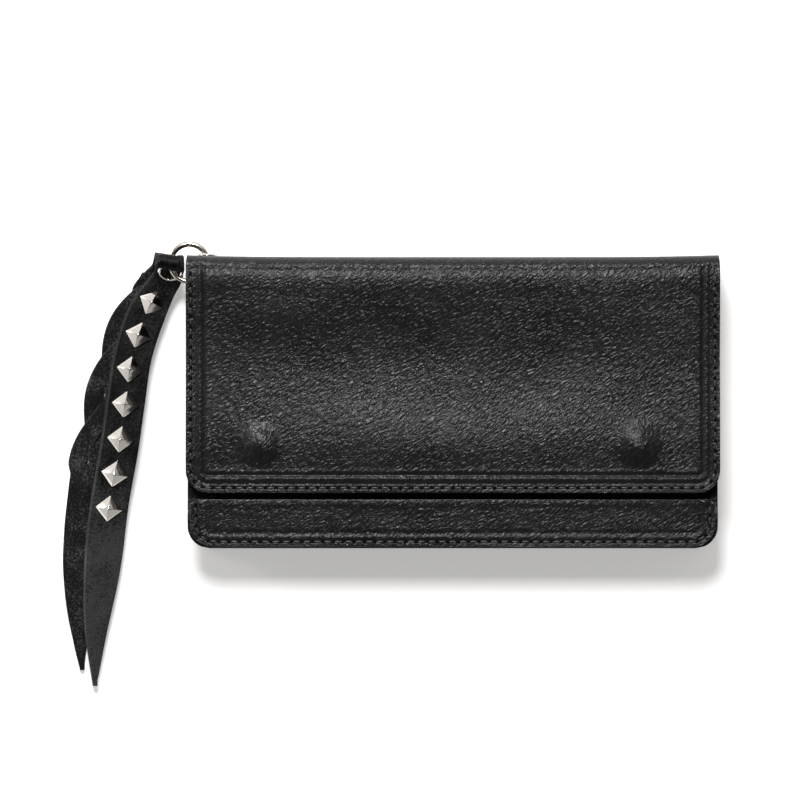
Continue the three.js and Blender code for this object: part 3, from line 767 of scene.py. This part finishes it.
def pouch_place(number, y):
    """A point of the pouch's section, drawn in towards its foot and its mouth."""
    x, z = section[number]
    closing = 1 - 0.72 * (1 - step(y, pouch_low.y, pouch_low.y + 7 * MM))
    lip = 0.94 + 0.06 * step(pouch_high.y - y, 0, 2 * MM)
    middle = (pouch_low.z + pouch_high.z) / 2
    return Vector((x, y, middle + z * closing * lip))


made, _ = laid_grid(
    range(len(section)),
    spread((pouch_low.y, pouch_low.y + 8 * MM, 1 * MM), (pouch_low.y + 8 * MM, pouch_high.y, 3 * MM)),
    pouch_place, lambda number, y: (section[number][0], y),
)
pouch = finish_sheet("calf_pouch", made, 0.7 * MM, 0.12 * MM, [lining_leather])
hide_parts("pouch_shell")
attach(pouch, "pouch")


# ---- zip: woven tapes sewn in the pouch's mouth, with teeth, stops, slider and pull ----
# The tapes are herringbone cotton. The teeth are stamped metal, clamped in turn on one tape
# and the other, and the slider and its pull are cast.
def woven(name):
    """Herringbone tape: fine ribs across it, darker between the threads."""
    finish = Finish(name, IOR=1.45)
    flat = finish.scaled(finish.place("leather"), 1 / MM)
    ribs = finish.node("ShaderNodeTexWave", {"bands_direction": "DIAGONAL"}, flat, Scale=1.1, Distortion=0.6)
    threads = finish.noise(flat, 3.0, 3.0)
    weave = ribs * 0.7 + threads * 0.3
    finish.feed("Base Color", finish.mix(weave, (0.004, 0.004, 0.004, 1), (0.024, 0.024, 0.025, 1)))
    finish.feed("Roughness", threads * 0.1 + 0.78)
    finish.bump(weave, 0.12 * MM)
    return finish.material


tape_weave = woven("woven_tape")
for node in ("zip_tape_rear", "zip_tape_front"):
    flat_sheet(
        node, f"woven_{node}", "pouch", (0.3 * MM, 0.3 * MM),
        lambda x, y: 0.04 * MM * math.sin(x / MM * 1.2), 0.05 * MM, [tape_weave], 4 * MM,
    )

chain_low, chain_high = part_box("zip_chain")
chain_middle = (chain_low + chain_high) / 2
tooth_pitch = 1.25 * MM
tooth_offset = 0.85 * MM
tooth_sizes = (0.95 * MM, chain_high.y - chain_low.y - 0.1 * MM, 2.8 * MM)
teeth = bmesh.new()
for number in range(int((chain_high.x - chain_low.x - 1.2 * MM) / tooth_pitch) + 1):
    x = chain_low.x + 0.6 * MM + number * tooth_pitch
    side = 1 if number % 2 else -1
    middle = Vector((x, chain_middle.y, chain_middle.z + side * tooth_offset))
    place = Matrix.Translation(middle) @ Matrix.Diagonal((*tooth_sizes, 1))
    tooth = bmesh.ops.create_cube(teeth, size=1, matrix=place)["verts"]
    rims = list({edge for vert in tooth for edge in vert.link_edges})
    bmesh.ops.bevel(
        teeth, geom=rims, offset=0.18 * MM, affect="EDGES", segments=2, profile=0.5, material=-1
    )
chain = ship(teeth, "zip_teeth", [nickel], 35)
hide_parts("zip_chain")
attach(chain, "pouch")
eased("zip_stop_left", "pouch", 0.2 * MM)
eased("zip_stop_right", "pouch", 0.2 * MM)
eased("zip_slider", "zip_slider", 0.3 * MM)
eased("zip_pull", "zip_pull", 0.25 * MM)


# ---- stitches: heavy black thread, 3.7 mm to a stitch, with painted shade at each needle hole ----
# Waxed thread is sewn by hand round the flap, round the front band and round the back. Each
# stitch swells between its two holes, and each hole is a flat near-black oval of painted shade.
def waxed_thread():
    """Twisted thread, smoothed by its wax."""
    finish = Finish("waxed_thread", IOR=1.5)
    ply = finish.noise(finish.place(), 2600.0, 3.0)
    finish.feed("Base Color", finish.mix(ply, (0.006, 0.006, 0.006, 1), (0.03, 0.03, 0.031, 1)))
    finish.feed("Roughness", ply * 0.2 + 0.3)
    finish.bump(ply, 0.06 * MM)
    return finish.material


thread = waxed_thread()
# Each needle hole is a flat near-black matte oval on the surface: painted shade where the hole would be
# dark.
painted_hole_shade = Finish("painted_hole_shade", Roughness=0.95, Specular_IOR_Level=0.1)
holed = painted_hole_shade.noise(painted_hole_shade.place(), 900.0)
hole_black, hole_grey = (0.0004, 0.0004, 0.0004, 1), (0.0016, 0.0016, 0.0016, 1)
painted_hole_shade.feed("Base Color", painted_hole_shade.mix(holed, hole_black, hole_grey))
stitch_pitch = 3.7 * MM
stitch_gap = 0.38 * MM
thread_half_wide, thread_half_high = 0.42 * MM, 0.30 * MM
hole_halves = (1.05 * MM, 0.62 * MM, 0.20 * MM)
proud = 0.02 * MM


def outline(wide, low, top, radius, inset):
    """Points down one side, round the foot and up the other, a stitch apart."""
    side, foot, turn = top - low - radius, 2 * (wide - radius), (radius - inset) * math.pi / 2
    total = 2 * side + foot + 2 * turn
    count = round(total / stitch_pitch)
    for number in range(count + 1):
        at = total * number / count
        mirror = -1 if at <= total / 2 else 1
        at = min(at, total - at)
        if at < side:
            yield Vector((mirror * (wide - inset), top - at, 0))
        elif at < side + turn:
            a = (at - side) / (radius - inset)
            reach = Vector((mirror * math.cos(a), -math.sin(a), 0)) * (radius - inset)
            yield Vector((mirror * (wide - radius), low + radius, 0)) + reach
        else:
            x = wide - radius - (at - side - turn)
            yield Vector((mirror * x, low + inset, 0))


def stitched(name, places, height, body):
    """Sews along places: a flat dark oval of painted shade at each needle hole, and a raised thread up to
    the next.
    """
    made = bmesh.new()
    for here, after in zip(places, places[1:]):
        middle, along = (here + after) / 2, after - here
        for centre, sizes, material in (
            (middle, (along.length / 2 - stitch_gap, thread_half_wide, thread_half_high), 0),
            (here, hole_halves, 1),
        ):
            spot = Vector((centre.x, centre.y, height(centre.x, centre.y)))
            turn = Matrix.Rotation(math.atan2(along.y, along.x), 4, "Z")
            matrix = Matrix.Translation(spot) @ turn @ Matrix.Diagonal((*sizes, 1))
            ball = bmesh.ops.create_uvsphere(made, u_segments=10, v_segments=6, radius=1, matrix=matrix)
            for face in {face for vert in ball["verts"] for face in vert.link_faces}:
                face.material_index = material
    sewn = ship(made, name, [thread, painted_hole_shade.material], 60)
    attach(sewn, body)


flap_line = list(outline(half, flap_edge, roll_y - 2 * MM, corner_radius, 1.75 * MM))
stitched("flap_stitches", flap_line, lambda x, y: flap_outer + flap_relief(x, y) + proud, "flap")
band_line = list(outline(band_high.x, band_low.y, band_high.y - 2 * MM, corner_radius, 1.9 * MM))
stitched("band_stitches", band_line, lambda x, y: band_high.z + band_relief(x, y) + proud, "front")
back_line = list(outline(half, -half_height, half_height - 5 * MM, corner_radius, 3.3 * MM))
stitched("back_stitches", back_line, lambda x, y: back_relief(x, y) - proud, "body")


# ---- strap charm: one black leather strap, 1.8 mm thick, folded over the ring ----
# The front half is flat, grain side out. The back half is slit into three and braided, and
# shows its dark suede side. Both ends are cut to long points, and the cut edges stay raw.
def onto_ring(degrees):
    """The middle of the ring's wire, at an angle round it."""
    a = math.radians(degrees)
    return ring_middle + ring_radius * Vector((math.cos(a), math.sin(a), 0))


front_pierce = onto_ring(208.5)
back_pierce = onto_ring(181)
front_slope = Vector((-0.148, -0.624, -0.766)).normalized()
back_slope = Vector((-0.097, -0.41, -0.906)).normalized()
fold_slope = (front_slope + back_slope).normalized()
fold_across = Vector((0.965, -0.262, 0)).normalized()
straight = 2.6 * MM


def beside(pierce, x, slope, by):
    """A place in the strap's middle beside the ring's wire, moved along the strap's slope."""
    return Vector((x * MM, pierce.y, pierce.z)) + slope * by


back_top = beside(back_pierce, -102.3, back_slope, -straight)
front_top = beside(front_pierce, -101.9, front_slope, -straight)
fold_centre = (back_top + front_top) / 2
fold_reach = (front_top - back_top) / 2
fold_reach -= fold_slope * fold_reach.dot(fold_slope)


def fold_point(degrees):
    """A place on the half circle in which the strap turns over the ring."""
    a = math.radians(degrees)
    return fold_centre - fold_reach * math.cos(a) - fold_slope * fold_reach.length * math.sin(a)


# Places along the middle of each half, in mm: the back one up to the ring, the front one down.
back_half = [
    (-133.9, -96.8, 1.1), (-134.4, -86.8, 1.1), (-134.4, -70, 1.1), (-133.7, -48.8, 1.1),
    (-131.4, -27.5, 1.8), (-129, -16, 2), (-126.3, -6, 2), (-124, 4, 2), (-121, 15.1, 2),
    (-117, 25, 2), (-112, 34.8, 1.9), (-107.5, 42.5, 2.2), (-104.3, 46.3, 4.4),
]
front_half = [
    (-103.8, 43.2, 6.9), (-106.3, 39.3, 5.6), (-110.3, 31.8, 5.4), (-115.2, 16.5, 5.7),
    (-117.6, 0.5, 5.8), (-120.2, -17.6, 5.6), (-123.6, -36.5, 4.4), (-126.3, -59.5, 3.4),
    (-128.4, -81, 3.4), (-128.8, -102.4, 3.4),
]
strap_points = [Vector(p) * MM for p in back_half]
strap_points.append(beside(back_pierce, -102.5, back_slope, straight))
strap_points.append(beside(back_pierce, -102.4, back_slope, 0))
strap_points += [fold_point(turn) for turn in (0, 45, 90, 135, 180)]
strap_points.append(beside(front_pierce, -102, front_slope, 0))
strap_points.append(beside(front_pierce, -102.1, front_slope, straight))
strap_points += [Vector(p) * MM for p in front_half]


class Route:
    """A smooth curve through points, read by length along it, and folded near one place."""

    def __init__(self, points, fold):
        ends = [points[0] * 2 - points[1], *points, points[-1] * 2 - points[-2]]
        self.line = []
        for a, b, c, d in zip(ends, ends[1:], ends[2:], ends[3:]):
            before, here, after = ((q - p).length ** 0.5 for p, q in ((a, b), (b, c), (c, d)))
            leave = (b - a) / before - (c - a) / (before + here) + (c - b) / here
            arrive = (c - b) / here - (d - b) / (here + after) + (d - c) / after
            leave, arrive = leave * here, arrive * here
            for i in range(24):
                t = i / 24
                cubic = (2 * b - 2 * c + leave + arrive) * t**3
                self.line.append(cubic + (3 * c - 3 * b - 2 * leave - arrive) * t**2 + leave * t + b)
        self.line.append(points[-1].copy())
        self.lengths = [0.0]
        for p, q in zip(self.line, self.line[1:]):
            self.lengths.append(self.lengths[-1] + (q - p).length)
        self.length = self.lengths[-1]
        self.fold_at = self.nearest(fold, 0, self.length)

    def point(self, at):
        at = min(max(at, 0), self.length)
        low, high = 0, len(self.line) - 1
        while high - low > 1:
            middle = (low + high) // 2
            low, high = (middle, high) if self.lengths[middle] <= at else (low, middle)
        stretch = self.lengths[high] - self.lengths[low]
        return self.line[low].lerp(self.line[high], (at - self.lengths[low]) / stretch)

    def frame(self, at):
        """The point at a length, with unit vectors along, across and out of the strap's face."""
        near = 0.5 * MM
        along = (self.point(at + near) - self.point(at - near)).normalized()
        down = Vector((along.x, along.y, 0))
        if down.y > 0:
            down.negate()
        free = step(abs(at - self.fold_at), 6 * MM, 20 * MM)
        across = Vector((-down.y, down.x, 0)).normalized().lerp(fold_across, 1 - free)
        across = (across - along * across.dot(along)).normalized()
        return self.point(at), along, across, along.cross(across)

    def nearest(self, target, start, end):
        """The length, between start and end, at which the curve passes closest to a target."""
        places = [start + (end - start) * i / 1500 for i in range(1501)]
        return min(places, key=lambda at: (self.point(at) - target).length)


strap = Route(strap_points, fold_point(90))
fold_at = strap.fold_at
strap_wide = 13.6 * MM
neck_wide = 10.6 * MM
tip_wide = 0.5 * MM
strap_thick = 1.8 * MM
back_tail_end = 69 * MM
braid_end = strap.nearest(Vector(back_half[11]) * MM, 0, fold_at)


def strap_width(at):
    """The strap's width at a length: pointed at both tails, and pinched where it folds."""
    back, front = at / (44 * MM), (strap.length - at) / (54 * MM)
    taper = math.sin(min(back, front, 1) * math.pi / 2)
    pointed = tip_wide + (strap_wide - tip_wide) * taper
    near_fold = 1 - step(abs(at - fold_at), 9 * MM, 26 * MM)
    return min(pointed, strap_wide + (neck_wide - strap_wide) * near_fold)


def strap_finish(name, dark, light, rough, grit, depth, tail_paler=0.08):
    """Leather on the strap's own UV map: creased a little across it, and paler towards its front tail."""
    finish = Finish(name, IOR=1.22)
    flat = finish.scaled(finish.place("leather"), 1 / MM)
    fibres = finish.noise(flat, grit, 5.0, 0.62)
    rubbed = finish.noise(flat, 0.09, 3.0, 0.6)
    bent = finish.noise(finish.scaled(flat, (0.5, 0.16, 1), 0.9), 0.8, 4.0, 0.6)
    # From 235 mm to 270 mm along the strap, towards the front tail, its colour grows paler.
    paler = finish.node("ShaderNodeSeparateXYZ", {}, flat, out=1).band(235.0, 270.0)
    shade = fibres * 0.62 + rubbed * 0.30 + bent * 0.15 + paler * tail_paler
    finish.feed("Base Color", finish.mix(shade.band(0.50, 0.78), dark, light))
    finish.feed("Roughness", rubbed * 0.2 + rough)
    finish.bump(fibres * 0.22 + bent * 0.9, depth * MM)
    return finish.material


strap_grain = strap_finish(
    "strap_grain", (0.0008, 0.0008, 0.0009, 1), (0.034, 0.034, 0.036, 1),
    rough=0.38, grit=1.2, depth=0.60, tail_paler=0.17,
)
strap_suede = strap_finish(
    "strap_suede", (0.006, 0.006, 0.0065, 1), (0.11, 0.11, 0.114, 1), rough=0.85, grit=1.3, depth=0.40
)
raw_edge = strap_finish(
    "raw_cut_edge", (0.022, 0.022, 0.023, 1), (0.105, 0.103, 0.102, 1), rough=0.7, grit=2.2, depth=0.15
)


def ribbon(name, start, end, steps, shape, thickness, materials, holes=(), bare=0):
    """A strip along the strap's route, with its width, shift and lift from shape.

    The first columns, as many as bare says, are the raw cut edge turned up.
    """
    columns = 14
    made = bmesh.new()
    bmesh.ops.create_grid(made, x_segments=columns, y_segments=steps, size=1)
    made.loops.layers.uv.new("leather")
    flat = {}
    for face in made.faces:
        if face.calc_center_median().x < 2 * bare / columns - 1:
            face.material_index = 2
    for vert in made.verts:
        side, at = vert.co.x, start + (end - start) * (vert.co.y + 1) / 2
        width, shift, lift = shape(at, side)
        centre, along, across, out = strap.frame(at)
        flat[vert] = (side * width / 2 + shift, at)
        vert.co = centre + across * (side * width / 2 + shift) + out * lift
    unroll(made, flat)
    for centre, radius in holes:
        inner = [f for f in made.faces if (f.calc_center_median() - centre).length < radius]
        bmesh.ops.delete(made, geom=inner, context="FACES")
    bmesh.ops.reverse_faces(made, faces=made.faces)
    piece = ship(made, name, materials)
    solid = piece.modifiers.new("thickness", "SOLIDIFY")
    solid.thickness = thickness
    solid.offset = 0
    solid.material_offset = 1
    solid.material_offset_rim = 2
    rounding = piece.modifiers.new("rounded_edge", "BEVEL")
    rounding.width = 0.28 * MM
    rounding.segments = 2
    rounding.limit_method = "ANGLE"
    rounding.angle_limit = math.radians(50)
    rounding.material = 2
    bake_modifiers(piece)
    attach(piece, "charm")
    return piece


def flat_shape(at, side):
    """The strap as it lies: a little curled along its left edge, with soft creases."""
    width = strap_width(at)
    curl = -0.85 * MM * step(-side, 0.62, 1.0) if at > fold_at + 12 * MM else 0.0
    crease = 0.22 * MM * noise.noise(Vector((side * 1.3, at / (9 * MM), 1.7)))
    calm = step(abs(at - fold_at), 8 * MM, 16 * MM)
    shift = 0.15 * MM * (1 - step(abs(at - fold_at), 3 * MM, 18 * MM))
    bulge = 1.7 * MM * (1 - 0.55 * side * side) * hump(at, fold_at, 3.6 * MM)
    return width, shift, (curl + crease) * calm + bulge


strap_leathers = [strap_grain, strap_suede, raw_edge]
holes = [
    (strap.frame(strap.nearest(pierce, *span))[0] + Vector((pierce.x - x * MM, 0, 0)), radius * MM)
    for pierce, x, span, radius in (
        (front_pierce, -102.9, (fold_at, strap.length), 3.0),
        (back_pierce, -102.4, (0, fold_at), 2.2),
    )
]
front_strap = ribbon(
    "strap_front", braid_end - 1 * MM, strap.length, 330, flat_shape, strap_thick, strap_leathers, holes, 1
)
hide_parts("charm_strap")
ribbon("strap_back_tail", 0, back_tail_end + 1 * MM, 90, flat_shape, strap_thick, strap_leathers)

# ---- braid: the strap's back half, slit into three strands and plaited ----
# The strands stay joined to the strap at both ends. Each crosses the other two in turn, over
# one and under the next, cupped a little, with its suede side up.
plait_turn = 70 * MM
plait_half = 4.9 * MM
plait_lift = 1.05 * MM
strand_wide = 6.9 * MM
strand_thick = 1.3 * MM
braid_start = back_tail_end
plaits = round((braid_end - braid_start) / plait_turn * 2) / 2


def strand_shape(phase):
    """The path of one strand of the plait, a share of a turn behind its neighbour."""

    def shape(at, side):
        share = (at - braid_start) / (braid_end - braid_start)
        inside = step(share, 0, 0.07) * step(1 - share, 0, 0.07)
        angle = 2 * math.pi * plaits * share + phase
        width = strand_wide * inside + strap_width(at) / 3 * (1 - inside)
        cup = -0.35 * MM * side * side * inside
        lift = -plait_lift * math.sin(2 * angle) * inside + cup
        return width, plait_half * math.sin(angle), -lift
    return shape


for number, phase in enumerate((0, 2 * math.pi / 3, 4 * math.pi / 3), 1):
    ribbon(
        f"braid_strand_{number}", braid_start - 1 * MM, braid_end + 1 * MM, 120,
        strand_shape(phase), strand_thick, strap_leathers, (), 1,
    )

# ---- studs: seven pressed pyramid studs down the strap's front ----
# Each is stamped from sheet, plated, and held by prongs bent over behind the leather. The
# edges between its four facets are eased by the press.
for number in range(1, 8):
    eased(f"stud_{number}", "charm", 0.25 * MM, 8)

# ---- strap eyelets: rolled nickel, one in each half where the ring passes ----
# They are turned tubes with a domed flange, set through the leather from its face. The front
# one is the larger, and sits a little to the left of the ring's wire.
for name, pierce, shift, flange, span in (
    ("front", front_pierce, -1.3 * MM, 4.0 * MM, (fold_at, strap.length)),
    ("back", back_pierce, 0, 3.2 * MM, (0, fold_at)),
):
    at = strap.nearest(pierce, *span)
    centre, along, across, out = strap.frame(at)
    middle = centre + across * ((pierce - centre).dot(across) + shift) + out * 0.9 * MM
    barrel = flange - 1.25 * MM
    profile = [
        (barrel, -1.7 * MM), (barrel + 0.25 * MM, -1.7 * MM), (barrel + 0.25 * MM, 0.02 * MM),
        (flange, 0.02 * MM), (flange - 0.05 * MM, 0.3 * MM), (flange - 0.6 * MM, 0.62 * MM),
        (barrel + 0.15 * MM, 0.45 * MM),
    ]
    eyelet = turned_piece(f"strap_eyelet_{name}", profile, middle, out, [nickel])
    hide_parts(f"charm_eyelet_{name}")
    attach(eyelet, "charm")
